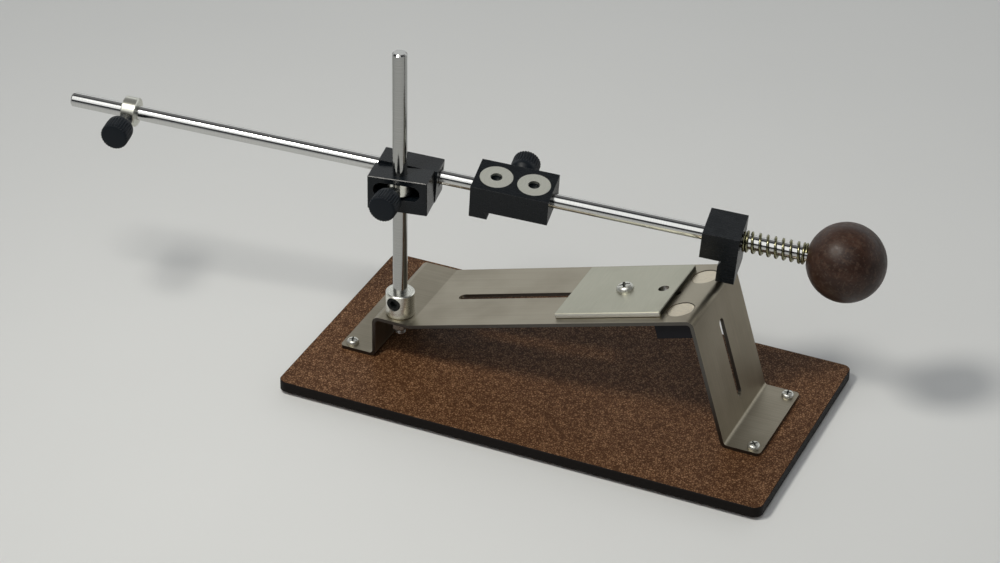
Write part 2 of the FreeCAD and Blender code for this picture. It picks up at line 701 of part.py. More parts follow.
def make_sprung_clamp():
    left = SPRUNG_RIGHT - SPRUNG_LEG_LENGTH
    body = clamp_body(SPRUNG_LEFT, SPRUNG_RIGHT, SPRUNG_LEG_DROP, left, SPRUNG_RIGHT, -1)
    return put(body, arm_place(SPRUNG_ROLL))


# ---------------------------------------------------------------- write the nodes

NODES = {
    "base_board": make_board,
    "rubber_feet": make_foot_pads,
    "bent_frame": make_frame,
    "frame_screws": make_foot_screws,
    "magnet_bar": make_magnet_bar,
    "disc_magnets": make_magnets,
    "post_boss": make_boss,
    "post_set_screw": make_set_screw,
    "boss_washer": make_boss_washer,
    "boss_nut": make_boss_nut,
    "boss_stud": make_boss_stud,
    "post": make_post,
    "table_plate": make_table_plate,
    "table_screw": make_table_screw,
    "table_washer": make_table_washer,
    "table_nut": make_table_nut,
    "post_collar": make_post_collar,
    "post_knob": lambda: make_knob(post_knob_place(), KNOB_START),
    "post_knob_stud": lambda: make_stud(post_knob_place()),
    "swivel_block": make_swivel_block,
    "pivot_screw": make_pivot_screw,
    "thrust_washer": make_thrust_washer,
    "rod_carrier": make_rod_carrier,
    "rod_bush": make_rod_bush,
    "guide_rod": make_guide_rod,
    "ball_handle": make_ball_handle,
    "ball_insert": make_ball_insert,
    "stop_collar": make_stop_collar,
    "stop_knob": lambda: make_knob(stop_knob_place(), KNOB_START),
    "stop_knob_stud": lambda: make_stud(stop_knob_place()),
    "fixed_clamp": make_fixed_clamp,
    "clamp_washers": make_clamp_washers,
    "clamp_knob": lambda: make_knob(clamp_knob_place(), CLAMP_KNOB_START),
    "clamp_knob_stud": lambda: make_stud(clamp_knob_place()),
    "sprung_clamp": make_sprung_clamp,
    "clamp_spring": make_spring,
}


def main():
    os.makedirs("parts", exist_ok=True)
    for name, make in NODES.items():
        shape = make()
        if not shape.isValid():
            print("not valid:", name)
        print("%-16s solids %d  volume %.1f" % (name, len(shape.Solids), shape.Volume))
        shape.exportStep("parts/%s.step" % name)


main()
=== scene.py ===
"""Looks of the guided-rod honing guide: a studio, the materials, and the detailed pieces that stand
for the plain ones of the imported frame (thumb screw heads, pan-head screws and the coil spring).

Everything is in the frame's own coordinates, in metres unless a comment says millimetres.
"""
import json

import bpy
from math import cos, pi, radians, sin, sqrt
from mathutils import Matrix, Vector


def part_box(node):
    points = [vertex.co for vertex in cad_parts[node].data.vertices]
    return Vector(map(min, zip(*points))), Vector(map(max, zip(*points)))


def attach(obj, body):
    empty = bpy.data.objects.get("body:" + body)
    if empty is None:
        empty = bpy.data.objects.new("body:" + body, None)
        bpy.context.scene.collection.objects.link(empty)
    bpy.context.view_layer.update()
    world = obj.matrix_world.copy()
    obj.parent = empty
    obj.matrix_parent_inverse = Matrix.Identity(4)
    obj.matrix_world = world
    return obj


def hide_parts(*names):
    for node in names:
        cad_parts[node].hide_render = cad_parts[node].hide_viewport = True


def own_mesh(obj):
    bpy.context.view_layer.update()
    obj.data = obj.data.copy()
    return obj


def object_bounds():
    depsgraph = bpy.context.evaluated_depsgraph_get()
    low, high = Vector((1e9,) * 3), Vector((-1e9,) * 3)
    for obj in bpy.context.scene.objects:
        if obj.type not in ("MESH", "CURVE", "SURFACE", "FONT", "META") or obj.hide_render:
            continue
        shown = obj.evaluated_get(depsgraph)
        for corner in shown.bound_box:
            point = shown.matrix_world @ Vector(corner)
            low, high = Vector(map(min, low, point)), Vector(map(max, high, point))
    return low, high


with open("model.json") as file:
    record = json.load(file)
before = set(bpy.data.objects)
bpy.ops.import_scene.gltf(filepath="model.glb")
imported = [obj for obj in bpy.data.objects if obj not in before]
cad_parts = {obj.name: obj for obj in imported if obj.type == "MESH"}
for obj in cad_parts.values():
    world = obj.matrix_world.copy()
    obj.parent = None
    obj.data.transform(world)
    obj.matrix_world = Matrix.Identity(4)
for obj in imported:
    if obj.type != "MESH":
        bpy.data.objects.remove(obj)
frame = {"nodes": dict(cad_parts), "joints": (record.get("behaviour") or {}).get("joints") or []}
CAD_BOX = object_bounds()
NODES = frame["nodes"]
JOINTS = {joint["name"]: joint for joint in frame["joints"]}
MM = 0.001
UP = Vector((0, 0, 1))


# ---------------------------------------------------------------- camera and studio

CAMERA_AZIMUTH = 23.548
CAMERA_ELEVATION = 31.995
CAMERA_ROLL = 0.992
CAMERA_PLACE = Vector((0.5390, -1.3300, 0.9609))
CAMERA_LENS = 113.08
SENSOR_WIDTH = 36.0
NEAREST_SEEN = 0.05

# the room's colours, and the parts of the view direction (-1 to 1) over which one turns into the next
ROOM_FRONT = (0.030, 0.032, 0.036)
ROOM_BACK = (0.970, 0.990, 0.985)
ROOM_LOW = (0.090, 0.090, 0.090)
ROOM_UPPER = (0.250, 0.250, 0.250)
CEILING = (0.040, 0.042, 0.048)
FRONT_TO_BACK = (-0.35, 0.55)
LOW_TO_WALL = (0.00, 0.14)
WALL_TO_UPPER = (0.46, 0.64)
UPPER_TO_CEILING = (0.93, 0.985)

# a round soft light high in front: its direction, and its reach in degrees at the rim and at full
# strength
SOFT_LIGHT = (1.300, 1.315, 1.300)
SOFT_LIGHT_AT = Vector((-0.02, -0.62, 0.78)).normalized()
SOFT_LIGHT_RIM = 31
SOFT_LIGHT_FULL = 24

KEY_PLACE = Vector((-0.22, -0.37, 0.79))
KEY_TARGET = Vector((0.45, 0.62, 0.0))
KEY_SIZE = 0.21
KEY_POWER = 4.6
KEY_COLOR = (1.0, 0.965, 0.885)
FLOOR_SIZE = 12
FLOOR_MIDDLE_Y = 2.0


def add_camera():
    data = bpy.data.cameras.new("camera")
    data.lens = CAMERA_LENS
    data.sensor_width = SENSOR_WIDTH
    data.clip_start = NEAREST_SEEN
    camera = bpy.data.objects.new("camera", data)
    bpy.context.collection.objects.link(camera)
    turn = Matrix.Rotation(radians(CAMERA_AZIMUTH), 4, "Z")
    tilt = Matrix.Rotation(radians(90 - CAMERA_ELEVATION), 4, "X")
    roll = Matrix.Rotation(radians(CAMERA_ROLL), 4, "Z")
    camera.matrix_world = Matrix.Translation(CAMERA_PLACE) @ turn @ tilt @ roll
    bpy.context.scene.camera = camera


def add_key_light():
    data = bpy.data.lights.new("key", "AREA")
    data.shape = "DISK"
    data.size = KEY_SIZE
    data.energy = KEY_POWER
    data.color = KEY_COLOR
    light = bpy.data.objects.new("key", data)
    bpy.context.collection.objects.link(light)
    light.location = KEY_PLACE
    light.rotation_euler = (KEY_TARGET - KEY_PLACE).to_track_quat("-Z", "Y").to_euler()


def add_floor():
    bpy.ops.mesh.primitive_plane_add(size=FLOOR_SIZE, location=(0, FLOOR_MIDDLE_Y, CAD_BOX[0][2]))
    floor = bpy.context.object
    floor.name = "floor"
    floor.data.materials.append(paper_material())


def add_world():
    """A grey room, darker in front and near the floor, with a broad soft light high in front."""
    world = bpy.data.worlds.new("studio")
    bpy.context.scene.world = world
    bpy.context.scene.view_settings.view_transform = "Standard"
    world.use_nodes = True
    tree = world.node_tree
    tree.nodes.clear()
    where = tree.nodes.new("ShaderNodeTexCoord")
    split = tree.nodes.new("ShaderNodeSeparateXYZ")
    tree.links.new(where.outputs["Generated"], split.inputs[0])

    def blend(value, span, start, end):
        """From the colour start to the colour end while value crosses span."""
        low, high = span
        share = tree.nodes.new("ShaderNodeMapRange")
        share.interpolation_type = "SMOOTHSTEP"
        share.inputs["From Min"].default_value = low
        share.inputs["From Max"].default_value = high
        tree.links.new(value, share.inputs["Value"])
        both = tree.nodes.new("ShaderNodeMix")
        both.data_type = "RGBA"
        tree.links.new(share.outputs[0], both.inputs["Factor"])
        for key, color in (("A", start), ("B", end)):
            if isinstance(color, tuple):
                both.inputs[key].default_value = color + (1,)
            else:
                tree.links.new(color, both.inputs[key])
        return both.outputs["Result"]

    walls = blend(split.outputs["Y"], FRONT_TO_BACK, ROOM_FRONT, ROOM_BACK)
    low = blend(split.outputs["Z"], LOW_TO_WALL, ROOM_LOW, walls)
    upper = blend(split.outputs["Y"], FRONT_TO_BACK, ROOM_FRONT, ROOM_UPPER)
    sides = blend(split.outputs["Z"], WALL_TO_UPPER, low, upper)
    room = blend(split.outputs["Z"], UPPER_TO_CEILING, sides, CEILING)
    towards = tree.nodes.new("ShaderNodeVectorMath")
    towards.operation = "DOT_PRODUCT"
    towards.inputs[1].default_value = SOFT_LIGHT_AT
    tree.links.new(where.outputs["Generated"], towards.inputs[0])
    reach = (cos(radians(SOFT_LIGHT_RIM)), cos(radians(SOFT_LIGHT_FULL)))
    room = blend(towards.outputs["Value"], reach, room, SOFT_LIGHT)
    background = tree.nodes.new("ShaderNodeBackground")
    out = tree.nodes.new("ShaderNodeOutputWorld")
    tree.links.new(room, background.inputs["Color"])
    tree.links.new(background.outputs[0], out.inputs["Surface"])


# ---------------------------------------------------------------- material helpers

BEVEL_SAMPLES = 6


class Shader:
    """One material and its nodes."""

    def __init__(self, name, color, metallic, roughness, specular=0.5):
        self.material = bpy.data.materials.new(name)
        self.material.use_nodes = True
        self.tree = self.material.node_tree
        self.surface = self.tree.nodes["Principled BSDF"]
        self.set("Base Color", color + (1,) if isinstance(color, tuple) else color)
        self.set("Metallic", metallic)
        self.set("Roughness", roughness)
        self.set("Specular IOR Level", specular)
        self.where = self.add("ShaderNodeTexCoord").outputs["Object"]

    def add(self, kind, inputs=None, **settings):
        node = self.tree.nodes.new(kind)
        for key, value in settings.items():
            setattr(node, key, value)
        for key, value in (inputs or {}).items():
            self.feed(node.inputs[key], value)
        return node

    def feed(self, socket, value):
        if isinstance(value, bpy.types.NodeSocket):
            self.tree.links.new(value, socket)
        else:
            socket.default_value = value

    def set(self, name, value):
        self.feed(self.surface.inputs[name], value)

    def math(self, operation, a, b=0.0):
        return self.add("ShaderNodeMath", {0: a, 1: b}, operation=operation).outputs[0]

    def vector(self, operation, a, b=(0, 0, 0), out="Vector"):
        return self.add("ShaderNodeVectorMath", {0: a, 1: b}, operation=operation).outputs[out]

    def stirred(self, scale, sway):
        """Object coordinates in units of 1/scale metres, pushed about by a coarser noise."""
        coarser = {"Vector": self.scaled(scale * 0.5), "Scale": 1.0}
        push = self.add("ShaderNodeTexNoise", coarser).outputs["Color"]
        return self.vector("ADD", self.scaled(scale), self.vector("MULTIPLY", push, (sway, sway, sway)))

    def scaled(self, scale):
        """Object coordinates times scale, one number or three."""
        three = (scale, scale, scale) if isinstance(scale, (int, float)) else scale
        return self.vector("MULTIPLY", self.where, three)

    def noise(self, scale, detail=3.0, rough=0.55, at=None):
        """Noise over the object, in units of 1/scale metres, or over the coordinates at."""
        inputs = {"Vector": at or self.scaled(scale), "Scale": 1.0, "Detail": detail, "Roughness": rough}
        return self.add("ShaderNodeTexNoise", inputs).outputs["Fac"]

    def along(self, axis, scale):
        """Distance along an axis, in units of 1/scale metres."""
        return self.math("MULTIPLY", self.vector("DOT_PRODUCT", self.where, tuple(axis), "Value"), scale)

    def around(self, centre, axis, scale):
        """Distance from a line, in units of 1/scale metres."""
        arm = self.vector("SUBTRACT", self.where, tuple(centre))
        off = self.vector("CROSS_PRODUCT", arm, tuple(axis))
        return self.math("MULTIPLY", self.vector("LENGTH", off, out="Value"), scale)

    def lines(self, distance, detail=2.0):
        """Noise that changes with one distance only, for turned and brushed finishes."""
        spot = self.add("ShaderNodeCombineXYZ", {0: distance}).outputs[0]
        return self.noise(1.0, detail=detail, at=spot)

    def ramp(self, value, stops):
        """Colours or grey levels by value; stops are (position, colour)."""
        node = self.add("ShaderNodeValToRGB", {"Fac": value})
        points = node.color_ramp.elements
        while len(points) < len(stops):
            points.new(0.5)
        for point, (place, color) in zip(points, stops):
            point.position = place
            point.color = color + (1,) if isinstance(color, tuple) else (color, color, color, 1)
        return node.outputs["Color"]

    def span(self, value, low, high, out_low=0.0, out_high=1.0):
        """A smooth step from out_low to out_high while value goes from low to high."""
        inputs = {"Value": value, "From Min": low, "From Max": high, "To Min": out_low, "To Max": out_high}
        return self.add("ShaderNodeMapRange", inputs, interpolation_type="SMOOTHSTEP").outputs[0]

    def mix(self, factor, a, b, blend="MIX"):
        node = self.add("ShaderNodeMix", data_type="RGBA", blend_type=blend)
        self.feed(node.inputs["Factor"], factor)
        for key, value in (("A", a), ("B", b)):
            self.feed(node.inputs[key], value + (1,) if isinstance(value, tuple) else value)
        return node.outputs["Result"]

    def bump(self, height, distance, strength):
        """Adds relief of a distance in metres on top of the relief there already is."""
        inputs = {"Height": height, "Distance": distance, "Strength": strength}
        if self.surface.inputs["Normal"].is_linked:
            inputs["Normal"] = self.surface.inputs["Normal"].links[0].from_socket
        self.set("Normal", self.add("ShaderNodeBump", inputs).outputs["Normal"])

    def facing(self, axis):
        """How far a face looks along an axis of the frame at rest, either way, 0 to 1."""
        normal = self.add("ShaderNodeNewGeometry").outputs["True Normal"]
        return self.math("ABSOLUTE", self.vector("DOT_PRODUCT", normal, tuple(axis), "Value"))

    def bevelled(self, radius):
        """The normal as if every edge were rounded by radius."""
        return self.add("ShaderNodeBevel", {"Radius": radius}, samples=BEVEL_SAMPLES).outputs[0]

    def round_edges(self, radius):
        """Lets the light catch an edge as if it were rounded by radius."""
        self.set("Normal", self.bevelled(radius))

    def edges(self, radius, edge=0.90, flat=0.985):
        """1 on edges within radius, 0 on flats."""
        soft = self.bevelled(radius)
        true = self.add("ShaderNodeNewGeometry").outputs["Normal"]
        same = self.vector("DOT_PRODUCT", soft, true, "Value")
        return self.span(same, edge, flat, 1.0, 0.0)


def joint_line(name):
    """A point on a joint's axis and the axis' direction."""
    joint = JOINTS[name]
    return Vector(joint.get("pos_m", (0, 0, 0))), Vector(joint["axis"]).normalized()


ROD_AXIS = joint_line("rod_slide")[1]


# ---------------------------------------------------------------- materials

def paper_material():
    s = Shader("pale_floor", (0.70, 0.71, 0.71), metallic=0.0, roughness=0.75, specular=0.3)
    s.set("Base Color", s.mix(s.noise(9.0, detail=2.0), (0.690, 0.700, 0.702), (0.710, 0.720, 0.722)))
    return s.material


def board_material():
    """Brown board with a leather-like grain: small pale islands between darker creases."""
    s = Shader("grained_board", (0.13, 0.065, 0.03), metallic=0.0, roughness=0.45, specular=0.08)
    cells = {"Vector": s.stirred(760.0, sway=0.9), "Scale": 1.0}
    creases = s.add("ShaderNodeTexVoronoi", cells, feature="DISTANCE_TO_EDGE").outputs["Distance"]
    coarse = s.noise(430.0, detail=3.0, rough=0.65)
    fine = s.noise(1300.0, detail=3.0, rough=0.7)
    broad = s.noise(11.0, detail=3.0, rough=0.6)
    island = s.span(creases, 0.02, 0.30)
    grain = s.math("ADD", s.math("MULTIPLY", coarse, 0.50), s.math("MULTIPLY", fine, 0.30))
    grain = s.math("ADD", grain, s.math("MULTIPLY", island, 0.20))
    top = s.ramp(grain, [
        (0.42, (0.064, 0.028, 0.012)),
        (0.50, (0.128, 0.060, 0.027)),
        (0.57, (0.208, 0.106, 0.051)),
        (0.65, (0.300, 0.172, 0.094)),
    ])
    top = s.mix(s.span(broad, 0.3, 0.7), top, s.mix(1.0, top, (0.82, 0.80, 0.78), "MULTIPLY"))
    flat = s.facing(UP)
    s.set("Base Color", s.mix(s.span(flat, 0.80, 0.95), (0.0085, 0.0068, 0.0062), top))
    s.set("Roughness", s.span(grain, 0.35, 0.65, 0.58, 0.38))
    s.bump(grain, distance=0.00030, strength=0.45)
    return s.material


def sheet_material():
    """Brushed stainless sheet, grain along X; faces that stand up steeply are browner and darker with a
    painted reflection of the board; the front and back edge faces are rougher and painted darker as
    painted shade.
    """
    s = Shader("brushed_sheet", (0.5, 0.48, 0.43), metallic=1.0, roughness=0.36)
    streaks = s.noise((14.0, 2400.0, 14.0), detail=3.0, rough=0.6)
    smudge = s.noise(22.0, detail=3.0, rough=0.6)
    base = s.mix(s.span(streaks, 0.3, 0.7), (0.290, 0.261, 0.202), (0.360, 0.324, 0.254))
    base = s.mix(s.span(smudge, 0.35, 0.70), base, s.mix(1.0, base, (0.86, 0.85, 0.83), "MULTIPLY"))
    # the front and back edge faces: rougher, and painted darker as painted shade
    cut_with_shade = s.span(s.facing((0, 1, 0)), 0.7, 0.95)
    # faces that stand up steeply take a browner, darker tint: a painted reflection of the brown board
    steep_board_reflection = s.span(s.facing(UP), 0.60, 0.25)
    base = s.mix(steep_board_reflection, base, s.mix(1.0, base, (0.80, 0.765, 0.72), "MULTIPLY"))
    s.set("Base Color", s.mix(cut_with_shade, base, (0.125, 0.117, 0.106)))
    rough = s.math("ADD", s.span(streaks, 0.2, 0.8, 0.30, 0.42), s.math("MULTIPLY", cut_with_shade, 0.12))
    s.set("Roughness", s.math("ADD", rough, s.span(smudge, 0.3, 0.7, 0.0, 0.06)))
    s.set("Anisotropic", 0.55)
    s.set("Tangent", s.add("ShaderNodeCombineXYZ", {0: 1.0, 1: 0.0, 2: 0.0}).outputs[0])
    s.bump(streaks, distance=0.00002, strength=0.5)
    return s.material


def plate_material():
    """Satin aluminium: the milled front and back painted lighter as a painted reflection, the sawn ends
    painted dark as painted shade.
    """
    s = Shader("satin_plate", (0.66, 0.66, 0.58), metallic=1.0, roughness=0.42)
    fine = s.noise((1900.0, 90.0, 1900.0), detail=2.0, rough=0.6)
    broad = s.noise(30.0, detail=3.0)
    base = s.mix(s.span(fine, 0.3, 0.7), (0.435, 0.430, 0.355), (0.500, 0.495, 0.415))
    base = s.mix(s.span(broad, 0.4, 0.7), base, s.mix(1.0, base, (0.93, 0.93, 0.92), "MULTIPLY"))
    # front and back faces lifted towards pale grey: a painted reflection
    base = s.mix(s.span(s.facing((0, 1, 0)), 0.80, 0.95), base, (0.86, 0.87, 0.86))
    deck = joint_line("table_slide")[1]
    # the ends, square to the table's slide, painted near black: painted shade
    s.set("Base Color", s.mix(s.span(s.facing(deck), 0.80, 0.95), base, (0.06, 0.06, 0.045)))
    s.set("Roughness", s.span(fine, 0.3, 0.7, 0.38, 0.50))
    s.bump(fine, distance=0.00002, strength=0.4)
    return s.material


def rod_material(name, axis, shade):
    """Ground and polished bar with faint rings left by the grinding wheel."""
    s = Shader(name, (shade, shade, shade), metallic=1.0, roughness=0.12)
    rings = s.lines(s.along(axis, 1400.0), detail=3.0)
    smudge = s.noise(55.0, detail=3.0)
    low, high = shade - 0.035, shade + 0.035
    low, high = (low, low, low - 0.008), (high, high, high - 0.012)
    s.set("Base Color", s.mix(s.span(rings, 0.3, 0.7), low, high))
    ground = s.span(rings, 0.3, 0.7, 0.10, 0.14)
    s.set("Roughness", s.math("ADD", ground, s.span(smudge, 0.4, 0.7, 0.0, 0.04)))
    s.bump(rings, distance=0.000001, strength=0.4)
    return s.material


def turned_material(name, centre, axis, low, high, roughness, scale=5200.0):
    """Lathe-turned metal: rings along the barrel and circles on the ends."""
    s = Shader(name, high, metallic=1.0, roughness=roughness)
    barrel = s.lines(s.along(axis, scale))
    ends = s.lines(s.around(centre, axis, scale))
    looks = s.span(s.facing(axis), 0.7, 0.9)
    grain = s.add("ShaderNodeMix", {0: looks, 2: barrel, 3: ends}).outputs[0]
    s.set("Base Color", s.mix(s.span(grain, 0.3, 0.7), low, high))
    s.set("Roughness", s.span(grain, 0.3, 0.7, roughness - 0.04, roughness + 0.05))
    s.bump(grain, distance=0.000004, strength=0.5)
    return s.material


def metal_material(name, color, roughness, grain=1400.0):
    """Plain or plated metal with a fine speckle."""
    s = Shader(name, color, metallic=1.0, roughness=roughness)
    speck = s.noise(grain, detail=2.0)
    dim = tuple(0.86 * c for c in color)
    s.set("Base Color", s.mix(s.span(speck, 0.35, 0.65), dim, color))
    s.set("Roughness", s.span(speck, 0.3, 0.7, roughness - 0.05, roughness + 0.07))
    s.bump(speck, distance=0.00001, strength=0.5)
    return s.material


def threaded_material(name, axis, color, roughness, pitch=0.8 * MM):
    """Metal with the look of a screw thread, as rings square to axis; the valleys are painted dark as
    painted shade.
    """
    s = Shader(name, color, metallic=1.0, roughness=roughness)
    turns = s.along(axis, 2 * pi / pitch)
    wave = s.math("SINE", turns)
    # the thread's valleys painted darker: painted shade
    s.set("Base Color", s.mix(s.span(wave, -1, 0.6), tuple(0.35 * c for c in color), color))
    s.bump(wave, distance=0.00014, strength=0.8)
    return s.material


def anodised_material(name, axis, painted_end_shine):
    """Black anodised aluminium, faintly mottled, edges lighter as both wear and a painted highlight; the
    last argument is the shine of its sawn ends, set per block: a painted reflection on the bright ends and
    painted shade on the dull ones.
    """
    s = Shader(name, (0.008, 0.009, 0.011), metallic=0.0, roughness=0.30, specular=0.26)
    mottle = s.noise(180.0, detail=3.0, rough=0.6)
    mill = s.noise((160.0, 1500.0, 1500.0), detail=2.0, rough=0.5)
    base = s.mix(s.span(mottle, 0.35, 0.65), (0.0036, 0.0054, 0.0074), (0.0052, 0.0070, 0.0092))
    # sawn ends: a lighter base and a shine set per block, painted reflection and painted shade
    sawn = s.span(s.facing(axis), 0.80, 0.95)
    base = s.mix(sawn, base, (0.008, 0.008, 0.008))
    # edges lightened to grey: partly wear, partly a painted highlight
    worn_and_highlit = s.math("MULTIPLY", s.edges(0.00030), s.span(s.noise(700.0, detail=2.0), 0.35, 0.6, 0.25, 1.0))
    s.set("Base Color", s.mix(worn_and_highlit, base, (0.055, 0.055, 0.058)))
    s.set("Specular IOR Level", s.span(sawn, 0.0, 1.0, 0.22, painted_end_shine))
    s.set("Roughness", s.span(s.math("ADD", mottle, mill), 0.7, 1.3, 0.23, 0.31))
    s.round_edges(0.00025)
    s.bump(mill, distance=0.000006, strength=0.3)
    return s.material


def moulded_material(name, color, roughness, specular=0.5):
    """Plastic, rubber or paint with fine pores."""
    s = Shader(name, color, metallic=0.0, roughness=roughness, specular=specular)
    pores = s.noise(2600.0, detail=2.0)
    low = tuple(0.8 * c for c in color)
    high = tuple(1.2 * c for c in color)
    s.set("Base Color", s.mix(s.span(pores, 0.3, 0.7), low, high))
    s.set("Roughness", s.span(pores, 0.3, 0.7, roughness - 0.06, roughness + 0.08))
    s.bump(pores, distance=0.00003, strength=0.4)
    return s.material


def ball_material():
    """Stained, waxed wood: fine flecks and short dark pores along the grain, a soft broad sheen."""
    s = Shader("stained_wood", (0.05, 0.025, 0.016), metallic=0.0, roughness=0.45, specular=0.27)
    pores = s.noise((160.0, 620.0, 620.0), detail=4.0, rough=0.65)
    flecks = s.noise(720.0, detail=3.0, rough=0.6)
    figure = s.noise((26.0, 60.0, 60.0), detail=4.0, rough=0.55)
    base = s.ramp(figure, [
        (0.34, (0.021, 0.0095, 0.0064)),
        (0.52, (0.036, 0.0165, 0.0105)),
        (0.68, (0.062, 0.0300, 0.0190)),
    ])
    base = s.mix(s.span(pores, 0.50, 0.68, 0.0, 0.70), base, (0.018, 0.0085, 0.0060))
    blotch = s.noise(340.0, detail=3.0, rough=0.6)
    base = s.mix(s.span(flecks, 0.53, 0.70, 0.0, 0.45), base, (0.085, 0.064, 0.050))
    base = s.mix(s.span(blotch, 0.50, 0.66, 0.0, 0.45), base, (0.085, 0.050, 0.034))
    s.set("Base Color", base)
    s.set("Roughness", s.span(blotch, 0.35, 0.65, 0.36, 0.50))
    s.bump(blotch, distance=0.00010, strength=0.30)
    s.bump(pores, distance=0.00005, strength=0.25)
    return s.material


def dress(node, material):
    """Gives a CAD node its material."""
    obj = NODES[node]
    if not obj.material_slots:
        obj.data.materials.append(material)
    for place in obj.material_slots:
        place.material = material


# ---------------------------------------------------------------- measures and mesh helpers

SHARP_ANGLE = 50
NEARLY_PARALLEL = 0.9


def corners(node):
    """Low and high corner of a node's box."""
    low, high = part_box(node)
    return Vector(low), Vector(high)


def middle_of(node):
    low, high = corners(node)
    return (low + high) / 2


def piece(name, points, faces, material, body, replaces=()):
    """A new mesh that rides on a body and, where replaces says so, stands for CAD nodes."""
    mesh = bpy.data.meshes.new(name)
    mesh.from_pydata([tuple(p) for p in points], [], faces)
    mesh.validate()
    mesh.shade_smooth()
    mesh.set_sharp_from_angle(angle=radians(SHARP_ANGLE))
    mesh.materials.append(material)
    obj = bpy.data.objects.new(name, mesh)
    bpy.context.collection.objects.link(obj)
    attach(obj, body)
    if replaces:
        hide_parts(*replaces)
    return obj


def axes_about(axis, towards=UP):
    """Two directions square to axis and to each other."""
    axis = Vector(axis).normalized()
    if abs(axis.dot(towards)) > NEARLY_PARALLEL:
        towards = Vector((1, 0, 0))
    first = (towards - axis * axis.dot(towards)).normalized()
    return first, axis.cross(first)


def ring_faces(rings, around, closed_start=False, closed_end=False):
    """Faces of a stack of rings with the same number of points, with or without end caps."""
    faces = []
    for ring in range(rings - 1):
        for k in range(around):
            a = ring * around + k
            b = ring * around + (k + 1) % around
            faces.append((a, b, b + around, a + around))
    if closed_start:
        faces.append(tuple(range(around - 1, -1, -1)))
    if closed_end:
        last = (rings - 1) * around
        faces.append(tuple(range(last, last + around)))
    return faces


# ---------------------------------------------------------------- thumb screw heads

KNOB_RIBS = 30
KNOB_STEPS = 8
KNOB_GROOVE = 0.52 * MM
KNOB_GROOVE_POWER = 1.6
# distances from the rod's or the post's axis, in mm
KNOB_START = 9.0
CLAMP_KNOB_START = 13.0
KNOB_NECK_END = 12.4
KNOB_BORE = 2.56
# the foot of the neck: (radius, distance past the neck's start), in mm
KNOB_FOOT = ((3.45, 0.0), (3.7, 0.1), (3.8, 0.4))
# (radius, distance from the rod's or the post's axis, share of the groove's depth), in mm
KNOB_PROFILE = (
    (3.8, 12.4, 0), (4.1, 12.9, 0), (4.9, 13.9, 0), (5.9, 15.1, 0), (6.8, 16.3, 0), (7.3, 17.0, 0),
    (7.5, 17.6, 0), (7.55, 18.6, 0), (7.55, 19.4, 0), (7.7, 19.9, 0.7), (7.7, 20.5, 1), (7.7, 21.2, 1),
    (7.7, 22.8, 1), (7.7, 24.4, 1), (7.7, 26.2, 1), (7.62, 26.9, 1), (7.4, 27.35, 0.8),
    (7.05, 27.62, 0.4), (6.6, 27.75, 0.1), (5.8, 27.83, 0), (4.4, 27.91, 0), (2.6, 27.97, 0),
    (0.6, 28.0, 0),
)


def add_knob(name, joint, body, material, start, boss=None):
    """A fluted head whose neck begins start mm from the clamped bar's axis; boss is the neck's look."""
    centre, axis = joint_line(joint)
    first, second = axes_about(axis)
    around = KNOB_RIBS * KNOB_STEPS
    profile = [(KNOB_BORE, start, 0)]
    profile += [(radius, start + past, 0) for radius, past in KNOB_FOOT]
    foot_end = profile[-1][1]
    profile += [row for row in KNOB_PROFILE if row[1] > foot_end]
    points = []
    for radius, out, share in profile:
        for k in range(around):
            turn = 2 * pi * k / around
            wave = 0.5 + 0.5 * cos(KNOB_RIBS * turn)
            r = radius * MM - KNOB_GROOVE * share * wave ** KNOB_GROOVE_POWER
            points.append(centre + axis * (out * MM) + first * (r * cos(turn)) + second * (r * sin(turn)))
    faces = ring_faces(len(profile), around, closed_end=True)
    head = piece(name + "_head", points, faces, material, body, (name,))
    if boss:
        head.data.materials.append(boss)
        neck = [ring for ring in range(len(profile) - 1) if profile[ring + 1][1] <= KNOB_NECK_END]
        for face in head.data.polygons[:len(neck) * around]:
            face.material_index = 1


# ---------------------------------------------------------------- pan-head screws

SCREW_RINGS = 44
SCREW_AROUND = 128
RING_SPREAD = 0.9
DOME_POWER = 5
# the cross recess: reach of a wing as a share of the head's radius, depth as a share of its height
RECESS_REACH = 0.66
RECESS_DEPTH = 0.60
# a wing's half width at its tip, its growth to the middle and its wall, as shares of the reach
WING_TIP = 0.18
WING_GROWTH = 0.08
WING_WALL = 0.07
# depth share at a wing's tip, its growth to the middle, and the share from which a face takes the recess's
# painted shade
TIP_DEPTH = 0.45
DEPTH_GROWTH = 0.9
PAINTED_SHADE_DEPTH = 0.25

FRAME_SCREW_RADIUS = 3.5 * MM
FRAME_SCREW_HEIGHT = 2.2 * MM
FRAME_SCREW_LIFT = 0.03 * MM
FRAME_SCREW_TURNS = (20, 65, 40, 10)
TABLE_SCREW_RADIUS = 4.9 * MM
TABLE_SCREW_HEIGHT = 3.0 * MM
TABLE_SCREW_LIFT = 0.02 * MM
TABLE_SCREW_TURN = 25


def cross_depth(x, y, size):
    """Depth share of a cross recess at a point of the head: 1 at the middle, 0 outside."""
    best = 0.0
    for along, across in ((abs(x), abs(y)), (abs(y), abs(x))):
        reach = 1 - along / size
        if reach <= 0:
            continue
        half = size * (WING_TIP + WING_GROWTH * reach)
        wall = min(1.0, max(0.0, (half - across) / (WING_WALL * size)))
        floor = min(1.0, TIP_DEPTH + DEPTH_GROWTH * reach)
        best = max(best, wall * floor)
    return best


